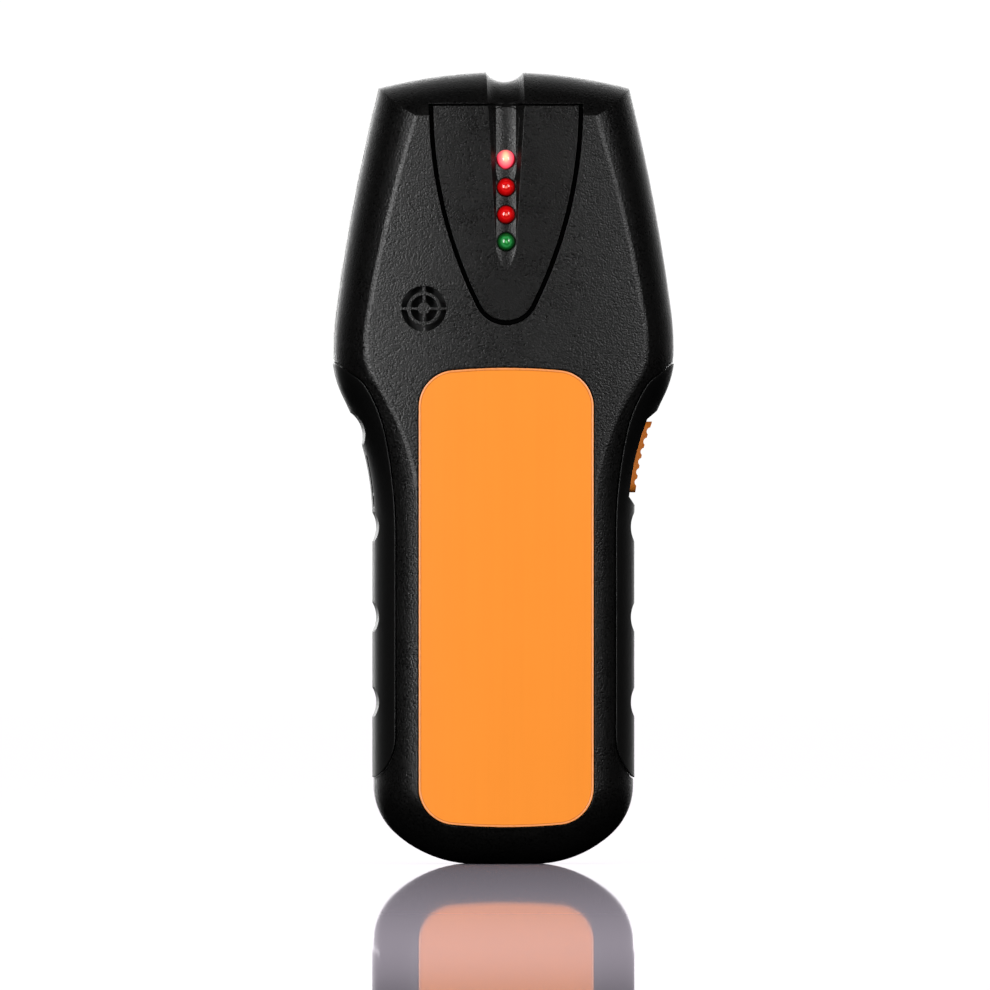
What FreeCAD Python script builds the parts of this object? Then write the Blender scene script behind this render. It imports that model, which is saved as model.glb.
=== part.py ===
"""Stud finder: a hand-held wall detector with a ribbed side button, four lamps and a 9 V battery.

Millimetres. X is the width, Y the depth with the crowned face toward -Y, Z the length.
The origin is at the bottom centre, midway through the depth.
"""
import FreeCAD, Part
import math
import os

V = FreeCAD.Vector

# ---- driving dimensions -------------------------------------------------------------------
LENGTH = 162.0
DEPTH = 28.0
FRONT = -DEPTH / 2
BACK = DEPTH / 2
HANDLE_HALF = 26.4          # half width of the handle
BOTTOM_FLAT = 6.14          # half length of the flat that it stands on
CORNER_BIG = 23.4
CORNER_SMALL = 13.5
CORNER_TURN = 43.0          # degrees turned by the big corner arc, the small one makes up 90
WAIST_START = 70.6          # where the straight handle sides end
WAIST_RADIUS = 55.0
WAIST_TURN = 26.88
CHEEK_RADIUS = 22.0
HEAD_ARCS = ((60.0, 7.5), (410.0, 6.46))    # radius and turn of the side above the widest place
TOP_RADIUS = 100.8          # plan radius of the top edge
TOP_CENTRE = LENGTH - TOP_RADIUS
BAND_RADIUS = 15.45         # section radius of the rounded band along the top
SHOULDER = 13.0             # section radius of the rounded sides
FACE_EDGE = 2.4             # small blend between the face and the rounded sides
CROWN = 200.0               # radius of the face across its width
PARTING = 1.0               # height of the joint between the two shells
SHADOW_GAP = 0.4
WALL = 2.4
LIP_INSET = 1.5
LIP_HEIGHT = 0.9
GRIP_PROUD = 0.26
GRIP_SINK = 1.3
GRIP_GAP = 0.35
GLUE = 0.05                 # between a trim piece and the seat that it is bonded to
SEAM_X = 22.6               # straight stretch of the seam beside the handle
SEAM_BOTTOM = 26.4
SEAM_TOP = 67.1
TONGUE_TIP = 111.1
TONGUE_TOP = 154.9
TONGUE_SINK = 0.8
TONGUE_FLOOR = 2.0
GROOVE = 1.0                # gap around the tongue
GROOVE_DEPTH = 3.0
PANEL_HALF = 17.86
PANEL_Z = (7.7, 101.4)
PANEL_CORNER = 7.5
PANEL_SINK = 1.5
LAMP_Z = (143.95, 138.3, 132.7, 127.15)
LAMP_RADIUS = 1.9
LAMP_HOLE = 2.0
LAMP_RISE = 1.15            # how far a lamp stands out of the floor of the pencil groove
LAMP_BACK = -8.5
TROUGH_HALF = 2.05
TROUGH_SPREAD = 0.74        # how much wider each wall gets per millimetre of height
TROUGH_HOLLOW = 0.3
TROUGH_TOP = 154.9
GROOVE_START = 121.5
GROOVE_SLOPE = 0.075
NOTCH_HALF = 3.85
NOTCH_DEPTH = 2.0
GRILLE = (-16.8, 113.5)
FINGER_Z = (68.95, 50.5, 33.1)
UPPER_FINGER_Z = 87.6       # on the left only, where the right side has the button
FINGER_RADIUS = 5.7
FINGER_DEPTH = 0.88
BUTTON_Z = (76.0, 90.5)
BUTTON_HALF = 4.2
BUTTON_PROUD = -0.15
SCOOP = 1.5                 # depth of the hollow in the grip that the button stands in
SCOOP_Z = (75.1, 91.0)
BUTTON_TRAVEL = 1.2
BUTTON_RIBS = 7
BUTTON_SLACK = 0.2
FLANGE_INSET = 3.4
FLANGE_THICK = 0.8
KNOB_Z = 78.3
KNOB_LENGTH = 6.0
KNOB_HALF = 2.4
KNOB_TRAVEL = 2.0
BOARD_Y = (-3.0, -1.4)
BOARD_START = 69.0
BOARD_EDGE = 4.6            # gap from the outside of the case to the edge of the board
BATTERY = (26.5, 17.5, 46.4)
BATTERY_BASE = 11.5
BATTERY_BACK = 10.7
DOOR_HALF = 15.6
DOOR_Z = (9.0, 65.5)
DOOR_THICK = 1.7
DOOR_GAP = 0.25
HINGE_RADIUS = 0.85
HEAD_SCREWS = ((-24.0, 128.0), (24.0, 128.0))
FOOT_SCREWS = ((-19.4, 11.5), (19.4, 11.5))
BOARD_SCREWS = ((-21.0, 103.0), (21.0, 103.0), (0.0, 75.0))
LABEL_Z = (76.0, 112.0)
LABEL_HALF = 17.0
# x, z, width, length and height of each chip
CHIPS = {"controller_chip": (6.0, 99.0, 7.5, 12.0, 2.0), "amplifier_chip": (-6.5, 93.0, 4.0, 5.2, 1.6)}
CHIP_PITCH = 1.27
TERMINAL_X = 6.35           # the battery's terminals, either side of the middle
COIL = (0.0, 112.0)
REACH = 60.0                # longer than the part is wide or deep, for cutting tools


# ---- helpers ------------------------------------------------------------------------------
class Pen:
    """Draws a chain of lines and tangent arcs in the XZ plane."""

    def __init__(self, x, z, heading):
        self.x = x
        self.z = z
        self.heading = math.radians(heading)
        self.edges = []

    def spot(self):
        return V(self.x, 0, self.z)

    def line(self, length):
        start = self.spot()
        self.x += length * math.cos(self.heading)
        self.z += length * math.sin(self.heading)
        self.edges.append(Part.makeLine(start, self.spot()))

    def line_to(self, x, z):
        start = self.spot()
        self.x = x
        self.z = z
        self.edges.append(Part.makeLine(start, self.spot()))

    def arc(self, radius, turn):
        """Turns left for a positive angle in degrees, right for a negative one."""
        side = math.copysign(1.0, turn)
        cx = self.x - side * radius * math.sin(self.heading)
        cz = self.z + side * radius * math.cos(self.heading)
        start = self.spot()
        points = []
        for share in (0.5, 1.0):
            angle = self.heading + math.radians(turn) * share
            points.append(V(cx + side * radius * math.sin(angle), 0, cz - side * radius * math.cos(angle)))
        self.edges.append(Part.Arc(start, points[0], points[1]).toShape())
        self.x = points[1].x
        self.z = points[1].z
        self.heading += math.radians(turn)


def mirrored(shape):
    return shape.mirror(V(0, 0, 0), V(1, 0, 0))


def face_from(edges):
    return Part.Face(Part.Wire(Part.__sortEdges__(edges)))


def slab(face, y0, y1):
    """A flat XZ face pushed from y0 to y1."""
    placed = face.copy()
    placed.translate(V(0, y0, 0))
    return placed.extrude(V(0, y1 - y0, 0))


def block(x0, x1, y0, y1, z0, z1):
    return Part.makeBox(x1 - x0, y1 - y0, z1 - z0, V(x0, y0, z0))


def rod(radius, x, z, y0, y1):
    """A cylinder along Y."""
    return Part.makeCylinder(radius, y1 - y0, V(x, y0, z), V(0, 1, 0))


def bar(radius, y, z, x0, x1):
    """A cylinder along X."""
    return Part.makeCylinder(radius, x1 - x0, V(x0, y, z), V(1, 0, 0))


def joined(shapes):
    whole = shapes[0]
    for shape in shapes[1:]:
        whole = whole.fuse(shape)
    return whole


def round_edges(shape, radius, chosen):
    edges = [edge for edge in shape.Edges if chosen(edge)]
    return shape.makeFillet(radius, edges) if edges else shape


def along(edge, direction, tolerance=0.02):
    """True for a straight edge that runs along a direction."""
    if edge.Curve.TypeId != "Part::GeomLine":
        return False
    return abs(abs(edge.tangentAt(edge.FirstParameter).dot(direction)) - 1) < tolerance


def rounded_block(x0, x1, y0, y1, z0, z1, radius, direction):
    """A block with the four edges along one direction rounded."""
    return round_edges(block(x0, x1, y0, y1, z0, z1), radius, lambda edge: along(edge, direction))


# ---- the outside form ---------------------------------------------------------------------
def side_pen(closed_top):
    """The right half of the plan outline, from the bottom centre upward."""
    pen = Pen(0, 0, 0)
    pen.line(BOTTOM_FLAT)
    pen.arc(CORNER_BIG, CORNER_TURN)
    pen.arc(CORNER_SMALL, 90 - CORNER_TURN)
    pen.line(WAIST_START - pen.z)
    pen.arc(WAIST_RADIUS, -WAIST_TURN)
    pen.arc(CHEEK_RADIUS, WAIST_TURN)
    for radius, turn in HEAD_ARCS:
        pen.arc(radius, turn)
    if closed_top:
        pen.edges.append(Part.Arc(pen.spot(), V(pen.x / 2, 0, top_z(pen.x / 2)), V(0, 0, LENGTH)).toShape())
    else:
        pen.line(14.0)
        pen.line_to(0, pen.z)
    return pen


def top_z(x):
    return TOP_CENTRE + math.sqrt(TOP_RADIUS ** 2 - x ** 2)


def outline(closed_top=True, grow=0.0):
    edges = side_pen(closed_top).edges
    half = Part.Compound(edges)
    face = face_from(half.Edges + mirrored(half).Edges)
    return face.makeOffset2D(grow, 2) if grow else face


def crown(inset):
    """Everything behind the crowned face."""
    radius = CROWN - inset
    centre = FRONT + CROWN
    drum = Part.makeCylinder(radius, LENGTH + 60, V(0, centre, -30), V(0, 0, 1))
    return drum


def band_disc(inset):
    """A disc about the Y axis through the centre of the top arc, with its front rim rounded."""
    flat = TOP_RADIUS - BAND_RADIUS
    section = BAND_RADIUS - inset
    rim = Part.Arc(V(flat + section, 0, 0),
                   V(flat + section * math.cos(math.pi / 4), -section * math.sin(math.pi / 4), 0),
                   V(flat, -section, 0)).toShape()
    corners = [V(flat, -section, 0), V(0, -section, 0), V(0, BACK + 1, 0), V(flat + section, BACK + 1, 0),
               V(flat + section, 0, 0)]
    lines = [Part.makeLine(a, b) for a, b in zip(corners, corners[1:])]
    profile = Part.Face(Part.Wire([rim] + lines))
    disc = profile.revolve(V(0, 0, 0), V(0, 1, 0), 360)
    disc.translate(V(0, 0, TOP_CENTRE))
    return disc


def front_form(inset, blend=0.0, rear=PARTING):
    """The front half of the outside form, moved inward by inset and ended at the level rear."""
    face = outline(closed_top=False, grow=-inset)
    form = slab(face, FRONT + inset, rear)
    front_y = FRONT + inset
    rim = [edge for edge in form.Edges
           if abs(edge.BoundBox.YMax - front_y) < 0.01 and edge.BoundBox.ZMin < LENGTH + 5]
    form = form.makeFillet(SHOULDER - inset, rim)
    form = form.common(crown(inset))
    if blend:
        form = form.makeFillet(blend, face_rim(form))
    return form.common(band_disc(inset))


def face_rim(form):
    """The edges between the crowned face and the rounded sides."""
    found = []
    for face in form.Faces:
        surface = face.Surface
        if surface.TypeId == "Part::GeomCylinder" and surface.Radius > 150:
            found += [edge for edge in face.Edges if edge.BoundBox.ZMin < LENGTH]
    return found


def back_form(inset, blend, start=PARTING):
    form = slab(outline(grow=-inset), start, BACK - inset)
    return round_edges(form, blend, lambda edge: abs(edge.BoundBox.YMin - BACK + inset) < 0.01)


# ---- plan regions -------------------------------------------------------------------------
def grip_region(grow=0.0):
    """Plan of the right grip: the seam on the inner side, and past the case on the outer."""
    outer_x = 45.0
    upper = Pen(SEAM_X, SEAM_TOP, 90)
    for radius, turn in ((100.0, -12), (30.0, -20), (6.0, -23)):
        upper.arc(radius, turn)
    upper.line(9.0)
    lower = Pen(SEAM_X, SEAM_BOTTOM, -90)
    for radius, turn in ((12.0, 40), (4.0, 20)):
        lower.arc(radius, turn)
    lower.line(4.0)
    seam = Part.makeLine(V(SEAM_X, 0, SEAM_BOTTOM), V(SEAM_X, 0, SEAM_TOP))
    corners = [upper.spot(), V(outer_x, 0, upper.z), V(outer_x, 0, lower.z), lower.spot()]
    sides = [Part.makeLine(a, b) for a, b in zip(corners, corners[1:])]
    region = face_from(upper.edges + lower.edges + [seam] + sides)
    return region.makeOffset2D(grow, 0) if grow else region


def tongue_region(grow=0.0):
    """Plan of the lamp insert: a tongue with a rounded tip, cut level near the top edge."""
    pen = Pen(0, TONGUE_TIP, 0)
    pen.arc(5.8, 64)
    pen.line(1.1)
    pen.arc(90.0, 26)
    pen.line_to(pen.x, 158.0)
    pen.line_to(0, 158.0)
    half = Part.Compound(pen.edges)
    region = face_from(half.Edges + mirrored(half).Edges)
    return region.makeOffset2D(grow, 0) if grow else region


def panel_region(grow=0.0):
    """Plan of the label panel: straight sides, gently arched ends and round corners."""
    low, high = PANEL_Z
    arch = 1.3
    ends = []
    for z, way in ((low, 1), (high, -1)):
        level = z + way * arch
        ends.append(Part.Arc(V(-PANEL_HALF, 0, level), V(0, 0, z), V(PANEL_HALF, 0, level)).toShape())
    sides = [Part.makeLine(V(x, 0, low + arch), V(x, 0, high - arch)) for x in (-PANEL_HALF, PANEL_HALF)]
    prism = slab(face_from(ends + sides), 0, 1)
    prism = prism.makeFillet(PANEL_CORNER, [edge for edge in prism.Edges if along(edge, V(0, 1, 0))])
    region = [face for face in prism.Faces if face.BoundBox.YMax < 0.01][0]
    return region.makeOffset2D(grow, 0) if grow else region


# ---- tools that cut several pieces ----------------------------------------------------------
def trough():
    """The slanting part of the pencil groove: a narrow hollow floor between two sloping walls."""
    half = TROUGH_HALF
    high = 6.0
    spread = half + TROUGH_SPREAD * high
    floor = Part.Arc(V(-half, -TROUGH_HOLLOW, 0), V(0, 0, 0), V(half, -TROUGH_HOLLOW, 0)).toShape()
    corners = [V(half, -TROUGH_HOLLOW, 0), V(spread, -high, 0), V(-spread, -high, 0),
               V(-half, -TROUGH_HOLLOW, 0)]
    walls = [Part.makeLine(a, b) for a, b in zip(corners, corners[1:])]
    prism = Part.Face(Part.Wire([floor] + walls)).extrude(V(0, 0, 60))
    prism.rotate(V(0, 0, 0), V(1, 0, 0), -math.degrees(math.atan(GROOVE_SLOPE)))
    prism.translate(V(0, FRONT + TONGUE_SINK, GROOVE_START))
    return prism.common(block(-REACH, REACH, -REACH, REACH, 0, TROUGH_TOP))


def pencil_cutter():
    """The pencil groove: the trough in the tongue, a channel over the band, a notch through the top."""
    notch_radius = (NOTCH_HALF ** 2 + NOTCH_DEPTH ** 2) / (2 * NOTCH_DEPTH)
    notch = rod(notch_radius, 0, LENGTH - NOTCH_DEPTH + notch_radius, -REACH / 2, REACH / 2)
    band_centre = LENGTH - BAND_RADIUS
    ring = Part.makeTorus(BAND_RADIUS - NOTCH_DEPTH + notch_radius, notch_radius,
                          V(0, 0, band_centre), V(1, 0, 0))
    front_half = block(-REACH, REACH, -REACH, 0, band_centre, band_centre + REACH)
    return joined([trough(), notch, ring.common(front_half)])


def lamp_holes(radius):
    return joined([rod(radius, 0, z, -REACH / 2, 0) for z in LAMP_Z])


def grille_slots():
    """Two rings of slots, each divided into four by a cross of thin ribs."""
    x, z = GRILLE
    outer = rod(4.6, x, z, -REACH / 2, 0).cut(rod(3.45, x, z, -REACH / 2, 0))
    inner = rod(2.75, x, z, -REACH / 2, 0).cut(rod(1.25, x, z, -REACH / 2, 0))
    rib = 0.3
    cross = block(x - 6, x + 6, -REACH / 2, 0, z - rib, z + rib)
    cross = cross.fuse(block(x - rib, x + rib, -REACH / 2, 0, z - 6, z + 6))
    return outer.fuse(inner).cut(cross)


def button_window(gap):
    low, high = BUTTON_Z
    return rounded_block(15, 45, -BUTTON_HALF - gap, BUTTON_HALF + gap, low - gap, high + gap,
                         2.0, V(1, 0, 0))


def knob_window():
    reach = KNOB_LENGTH / 2 + KNOB_TRAVEL + BUTTON_SLACK
    half = KNOB_HALF + BUTTON_SLACK
    return rounded_block(-45, -15, -half, half, KNOB_Z - reach, KNOB_Z + reach, 0.8, V(1, 0, 0))


def both_sides(shape):
    return shape.fuse(mirrored(shape))


def side_openings():
    return button_window(BUTTON_SLACK).fuse(knob_window())


# ---- shells ---------------------------------------------------------------------------------
def front_shell():
    past = PARTING + 3.0
    inner = front_form(WALL, rear=past)
    outer = front_form(0.0, FACE_EDGE)
    grip_seat = both_sides(slab(grip_region(GRIP_GAP), -REACH / 2, past - 1))
    grip_seat = grip_seat.cut(front_form(GRIP_SINK, rear=past))
    tongue_seat = slab(tongue_region(GROOVE), -REACH / 2, 0).cut(front_form(TONGUE_FLOOR, rear=past))
    moat = slab(tongue_region(GROOVE), -REACH / 2, 0).cut(slab(tongue_region(), -REACH, REACH))
    moat = moat.cut(front_form(GROOVE_DEPTH, rear=past))
    tongue_seat = tongue_seat.fuse(moat).common(block(-REACH, REACH, -REACH, 0, 0, TONGUE_TOP + 0.5))
    panel_seat = slab(panel_region(0.25), -REACH / 2, 0).cut(front_form(PANEL_SINK, rear=past))
    shell = outer.cut(inner)
    backing = slab(tongue_region(GROOVE + 1.5), -REACH / 2, -8.0).common(inner)
    backing = backing.cut(front_form(WALL + 1.2, rear=past))
    lamp_boss = block(-6.2, 6.2, -REACH / 2, LAMP_BACK, 119, LENGTH).common(front_form(TONGUE_FLOOR))
    post_end = PARTING - LIP_HEIGHT - 0.1
    posts = [rod(3.2, x, z, -REACH / 2, post_end).common(inner) for x, z in HEAD_SCREWS + FOOT_SCREWS]
    posts += [rod(2.4, x, z, -REACH / 2, BOARD_Y[0]).common(inner) for x, z in BOARD_SCREWS]
    shell = joined([shell, backing, lamp_boss] + posts)
    for tool in (grip_seat, tongue_seat, panel_seat, pencil_cutter(), lamp_holes(LAMP_HOLE), grille_slots(),
                 side_openings()):
        shell = shell.cut(tool)
    for x, z in HEAD_SCREWS + FOOT_SCREWS:
        shell = shell.cut(rod(1.2, x, z, -7.0, PARTING))
    for x, z in BOARD_SCREWS:
        shell = shell.cut(rod(0.8, x, z, -8.0, PARTING))
    rebate = slab(outline(grow=-LIP_INSET), PARTING - LIP_HEIGHT - 0.1, PARTING)
    rebate = rebate.cut(both_sides(slab(grip_region(0.8), -REACH / 2, past)))
    shell = shell.cut(rebate)
    return shell.common(block(-REACH, REACH, -REACH, PARTING - SHADOW_GAP / 2, -10, LENGTH + 10))


def back_shell():
    outer = back_form(0.0, 3.5)
    inner = back_form(WALL, 1.2, PARTING - 1.0)
    shell = outer.cut(inner)
    start = PARTING + SHADOW_GAP / 2
    posts = [rod(3.2, x, z, start, BACK - 0.5).common(inner) for x, z in HEAD_SCREWS + FOOT_SCREWS]
    wall_low = DOOR_Z[1] + 0.7
    bay_wall = block(-24.2, 24.2, 1.2, BACK - 1, wall_low, wall_low + 1.6).common(inner)
    lead_slot = block(-6.0, 6.0, 0, 5.0, wall_low - 1, wall_low + 3)
    shell = joined([shell] + posts + [bay_wall.cut(lead_slot)])
    grip_seat = both_sides(slab(grip_region(GRIP_GAP), 0, REACH / 2)).cut(back_form(GRIP_SINK, 2.2, -1.0))
    notch_only = pencil_cutter()
    for tool in (grip_seat, notch_only, side_openings(), door_opening(), label_seat()):
        shell = shell.cut(tool)
    shell = shell.common(block(-REACH, REACH, start, REACH, -10, LENGTH + 10))
    for x, z in HEAD_SCREWS + FOOT_SCREWS:
        shell = shell.cut(rod(1.6, x, z, 0, REACH)).cut(rod(3.0, x, z, BACK - 2.6, REACH))
    rib = lip(LIP_INSET + 0.1, PARTING - LIP_HEIGHT, start + 0.5)
    return shell.fuse(rib.cut(notch_only)).removeSplitter()


def lip(inset, y0, y1):
    """The rib of the back shell that locates the front one, left out under the grips."""
    ring = slab(outline(grow=-inset), y0, y1).cut(slab(outline(grow=-WALL), y0 - 1, y1 + 1))
    return ring.cut(both_sides(slab(grip_region(1.0), y0 - 1, y1 + 1)))


def door_opening():
    """The battery opening in the back, its ledge, and the pocket for the hinge knuckles."""
    low, high = DOOR_Z
    gap = DOOR_GAP
    plate = rounded_block(-DOOR_HALF - gap, DOOR_HALF + gap, BACK - DOOR_THICK - 0.2, BACK + 5,
                          low - HINGE_RADIUS - gap, high + gap, 2.0, V(0, 1, 0))
    hole = block(-DOOR_HALF + 1.4, DOOR_HALF - 1.4, 0, BACK + 5, low + 0.8, high - 1.6)
    return plate.fuse(hole)


def label_seat():
    low, high = LABEL_Z
    return rounded_block(-LABEL_HALF - 0.2, LABEL_HALF + 0.2, BACK - 0.4, BACK + 5, low - 0.2, high + 0.2,
                         2.0, V(0, 1, 0))


def back_label():
    low, high = LABEL_Z
    return rounded_block(-LABEL_HALF, LABEL_HALF, BACK - 0.4, BACK - 0.1, low, high, 1.8, V(0, 1, 0))


# ---- trim -----------------------------------------------------------------------------------
def side_skin():
    """The layer that the grips are cut from, around both shells."""
    overlap = 1.0
    front = front_form(-GRIP_PROUD, FACE_EDGE, PARTING + overlap)
    front = front.cut(front_form(GRIP_SINK - GLUE, rear=PARTING + 2 * overlap))
    rear = back_form(-GRIP_PROUD, 3.5).cut(back_form(GRIP_SINK - GLUE, 2.2, PARTING - overlap))
    rear = rear.common(block(-REACH, REACH, 0, BACK - 0.1, -10, LENGTH))
    return front, rear


def finger_cut(x_side, z):
    x = x_side * (HANDLE_HALF + GRIP_PROUD + FINGER_RADIUS - FINGER_DEPTH)
    return rod(FINGER_RADIUS, x, z, -REACH / 2, REACH / 2)


def grips():
    front, rear = side_skin()
    prism = slab(grip_region(), -REACH / 2, REACH / 2)
    right = front.common(prism).fuse(rear.common(prism)).removeSplitter()
    left = mirrored(right)
    for z in FINGER_Z:
        right = right.cut(finger_cut(1, z))
        left = left.cut(finger_cut(-1, z))
    left = left.cut(rod(FINGER_RADIUS, -(HANDLE_HALF + 3.05 + FINGER_RADIUS - FINGER_DEPTH), UPPER_FINGER_Z,
                        -REACH / 2, REACH / 2))
    right = right.cut(button_scoop()).cut(button_window(BUTTON_SLACK))
    left = left.cut(knob_window())
    return left, right


def button_scoop():
    """The hollow down the side of the right grip: it follows the flank, with sloping ends."""
    low, high = SCOOP_Z
    slope = 1.5
    floor = GRIP_PROUD - SCOOP
    proud = GRIP_PROUD + 1.0
    middle = (low + high) / 2
    deep = [V(flank_x(z) + floor, 0, z) for z in (low, middle, high)]
    shallow = [V(flank_x(z) + proud, 0, z) for z in (high + slope * 2, low - slope * 2)]
    outer = [V(45, 0, high + slope * 2), V(45, 0, low - slope * 2)]
    corners = [deep[2], shallow[0], outer[0], outer[1], shallow[1], deep[0]]
    sides = [Part.makeLine(a, b) for a, b in zip(corners, corners[1:])]
    face = Part.Face(Part.Wire([Part.Arc(*deep).toShape()] + sides))
    scoop = face.extrude(V(0, 2 * REACH, 0))
    scoop.translate(V(0, -REACH, 0))
    return scoop


def led_bezel():
    """The lamp insert: a plate that stays flat up to the band, where it ends square."""
    plate = slab(tongue_region(), -REACH / 2, 0).common(crown(TONGUE_SINK))
    plate = plate.cut(front_form(TONGUE_FLOOR - GLUE, rear=PARTING + 1))
    tongue = plate.common(block(-REACH, REACH, -REACH, -9.0, 0, TONGUE_TOP))
    return tongue.cut(pencil_cutter()).cut(lamp_holes(LAMP_HOLE))


def label_panel():
    """The coloured plate: it stays flat down to its lower edge, where the case falls away."""
    plate = slab(panel_region(), -REACH / 2, 0).common(crown(0.15))
    return plate.cut(front_form(PANEL_SINK - GLUE, rear=PARTING + 1))


def lamp(z):
    floor = FRONT + TONGUE_SINK + GROOVE_SLOPE * (z - GROOVE_START)
    tip = floor - LAMP_RISE
    dome = Part.makeSphere(LAMP_RADIUS, V(0, tip + LAMP_RADIUS, z))
    barrel = rod(LAMP_RADIUS, 0, z, tip + LAMP_RADIUS, LAMP_BACK)
    flange = rod(LAMP_RADIUS + 0.3, 0, z, LAMP_BACK, LAMP_BACK + 1.0)
    return joined([dome, barrel, flange])


# ---- button and switch ----------------------------------------------------------------------
def side_strip(grow, depth, half, z0, z1, corner):
    """A strip of the right flank, between two offsets of the outline, with rounded corners."""
    skin = slab(outline(grow=grow), -half, half).cut(slab(outline(grow=grow - depth), -half, half))
    return skin.common(rounded_block(15, 45, -half, half, z0, z1, corner, V(1, 0, 0)))


def scan_button():
    low, high = BUTTON_Z
    cap = side_strip(GRIP_PROUD + BUTTON_PROUD, FLANGE_INSET + 1.6, BUTTON_HALF, low, high, 1.8)
    pitch = (high - low) / BUTTON_RIBS
    grooves = []
    for number in range(1, BUTTON_RIBS):
        z = low + number * pitch
        surface_x = flank_x(z) + GRIP_PROUD + BUTTON_PROUD
        grooves.append(bar_along_y(0.85, surface_x + 0.42, z, BUTTON_HALF))
    cap = cap.cut(joined(grooves))
    flange = side_strip(-FLANGE_INSET, FLANGE_THICK, BUTTON_HALF + 0.7, low - 1.0, high + 1.0, 2.0)
    middle = (low + high) / 2
    post = bar(1.3, 0, middle, 21.0, flank_x(middle) - FLANGE_INSET)
    return joined([cap, flange, post])


def bar_along_y(radius, x, z, half):
    return rod(radius, x, z, -half - 1, half + 1)


def flank_x(z):
    """Half width of the case between the handle and the cheek."""
    rise = max(z - WAIST_START, 0.0)
    return HANDLE_HALF + WAIST_RADIUS - math.sqrt(WAIST_RADIUS ** 2 - rise ** 2)


def scan_switch_body():
    middle = sum(BUTTON_Z) / 2
    body = rounded_block(12.4, 18.4, -3.0, 3.0, middle - 3.0, middle + 3.0, 0.5, V(1, 0, 0))
    return body.cut(bar(1.25, 0, middle, 16.0, 18.4))


def scan_switch_stem():
    middle = sum(BUTTON_Z) / 2
    return bar(1.15, 0, middle, 17.7, 21.0)


def button_spring():
    """A coil of round wire between the switch and the flange of the button."""
    middle = sum(BUTTON_Z) / 2
    start = 18.6
    end = flank_x(middle - 2.5) - FLANGE_INSET - FLANGE_THICK - 0.8
    turns = 4
    wire = 0.22
    radius = 2.2
    pitch = (end - start - 2 * wire) / turns
    path = Part.makeHelix(pitch, pitch * turns, radius)
    section = Part.Wire(Part.makeCircle(wire, V(radius, 0, 0), V(0, 1, 0)))
    coil = Part.Wire(path).makePipeShell([section], True, True)
    coil.rotate(V(0, 0, 0), V(0, 1, 0), 90)
    coil.translate(V(start + wire, 0, middle))
    return coil


def mode_knob():
    """A ribbed slider that stands in the slot of the left grip, with a retaining plate inside."""
    z0 = KNOB_Z - KNOB_LENGTH / 2
    z1 = KNOB_Z + KNOB_LENGTH / 2
    cap = rounded_block(-HANDLE_HALF - 0.35, -23.2, -KNOB_HALF, KNOB_HALF, z0, z1, 0.6, V(1, 0, 0))
    ribs = [rod(0.4, -HANDLE_HALF - 0.5, z0 + 1.0 + step, -REACH / 2, REACH / 2) for step in (0, 1, 2, 3, 4)]
    plate = block(-23.4, -22.6, -KNOB_HALF - 1.4, KNOB_HALF + 1.4, z0 - 1.6, z1 + 1.6)
    return joined([cap.cut(joined(ribs)), plate])


def mode_switch_body():
    body = rounded_block(-21.6, -15.4, -3.0, 3.4, KNOB_Z - 5.5, KNOB_Z + 5.5, 0.4, V(1, 0, 0))
    return body.cut(block(-21.6, -19.4, -1.1, 1.1, KNOB_Z - 1.2 - KNOB_TRAVEL, KNOB_Z + 1.2 + KNOB_TRAVEL))


def mode_switch_slider():
    return block(-22.6, -19.6, -1.0, 1.0, KNOB_Z - 1.0, KNOB_Z + 1.0)


# ---- electronics ----------------------------------------------------------------------------
def main_board():
    front, back = BOARD_Y
    board = slab(outline(grow=-BOARD_EDGE), front, back)
    board = board.common(block(-REACH, REACH, front, back, BOARD_START, 156.0))
    for x, z in HEAD_SCREWS:
        board = board.cut(rod(3.6, x, z, front, back))
    for x, z in BOARD_SCREWS:
        board = board.cut(rod(1.1, x, z, front, back))
    middle = sum(BUTTON_Z) / 2
    board = board.cut(block(12.2, REACH, front, back, middle - 10.5, middle + 10.5))
    return board.cut(block(-REACH, -15.2, front, back, KNOB_Z - 7.2, KNOB_Z + 7.2))


def sensor_plates():
    """Three copper sensing plates on the back of the board near the top edge."""
    back = BOARD_Y[1]
    return [block(x - 5.6, x + 5.6, back, back + 0.2, 131.0, 153.0) for x in (-14.0, 0.0, 14.0)]


def metal_coil():
    x, z = COIL
    back = BOARD_Y[1]
    spool = rod(14.5, x, z, back, back + 3.0).cut(rod(10.5, x, z, back, back + 3.0))
    return round_edges(spool, 0.8, lambda edge: edge.BoundBox.YMin > back + 2.9)


def buzzer():
    x, z = GRILLE
    case = round_edges(rod(7.0, x, z, -9.4, BOARD_Y[0]), 0.5, lambda edge: edge.BoundBox.YMax < -9.3)
    return case.cut(rod(1.2, x, z, -9.4, -7.9))


def buzzer_gasket():
    x, z = GRILLE
    ring = rod(5.7, x, z, -REACH / 2, -9.4).cut(rod(4.8, x, z, -REACH / 2, -9.4))
    return ring.common(front_form(WALL))


def led_holder():
    low = LAMP_Z[-1] - 3.5
    high = LAMP_Z[0] + 3.5
    holder = rounded_block(-3.4, 3.4, LAMP_BACK + 1.0, BOARD_Y[0], low, high, 0.8, V(0, 1, 0))
    for z in LAMP_Z:
        for x in (-1.27, 1.27):
            holder = holder.cut(rod(0.4, x, z, LAMP_BACK, BOARD_Y[0] + 1))
    return holder


def led_leads():
    return [rod(0.25, x, z, LAMP_BACK + 1.0, BOARD_Y[0]) for z in LAMP_Z for x in (-1.27, 1.27)]


def chip(x, z, width, length, height):
    front = BOARD_Y[0]
    body = block(x - width / 2, x + width / 2, front - height, front - 0.15, z - length / 2, z + length / 2)
    return round_edges(body, 0.25, lambda edge: along(edge, V(0, 1, 0)))


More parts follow.
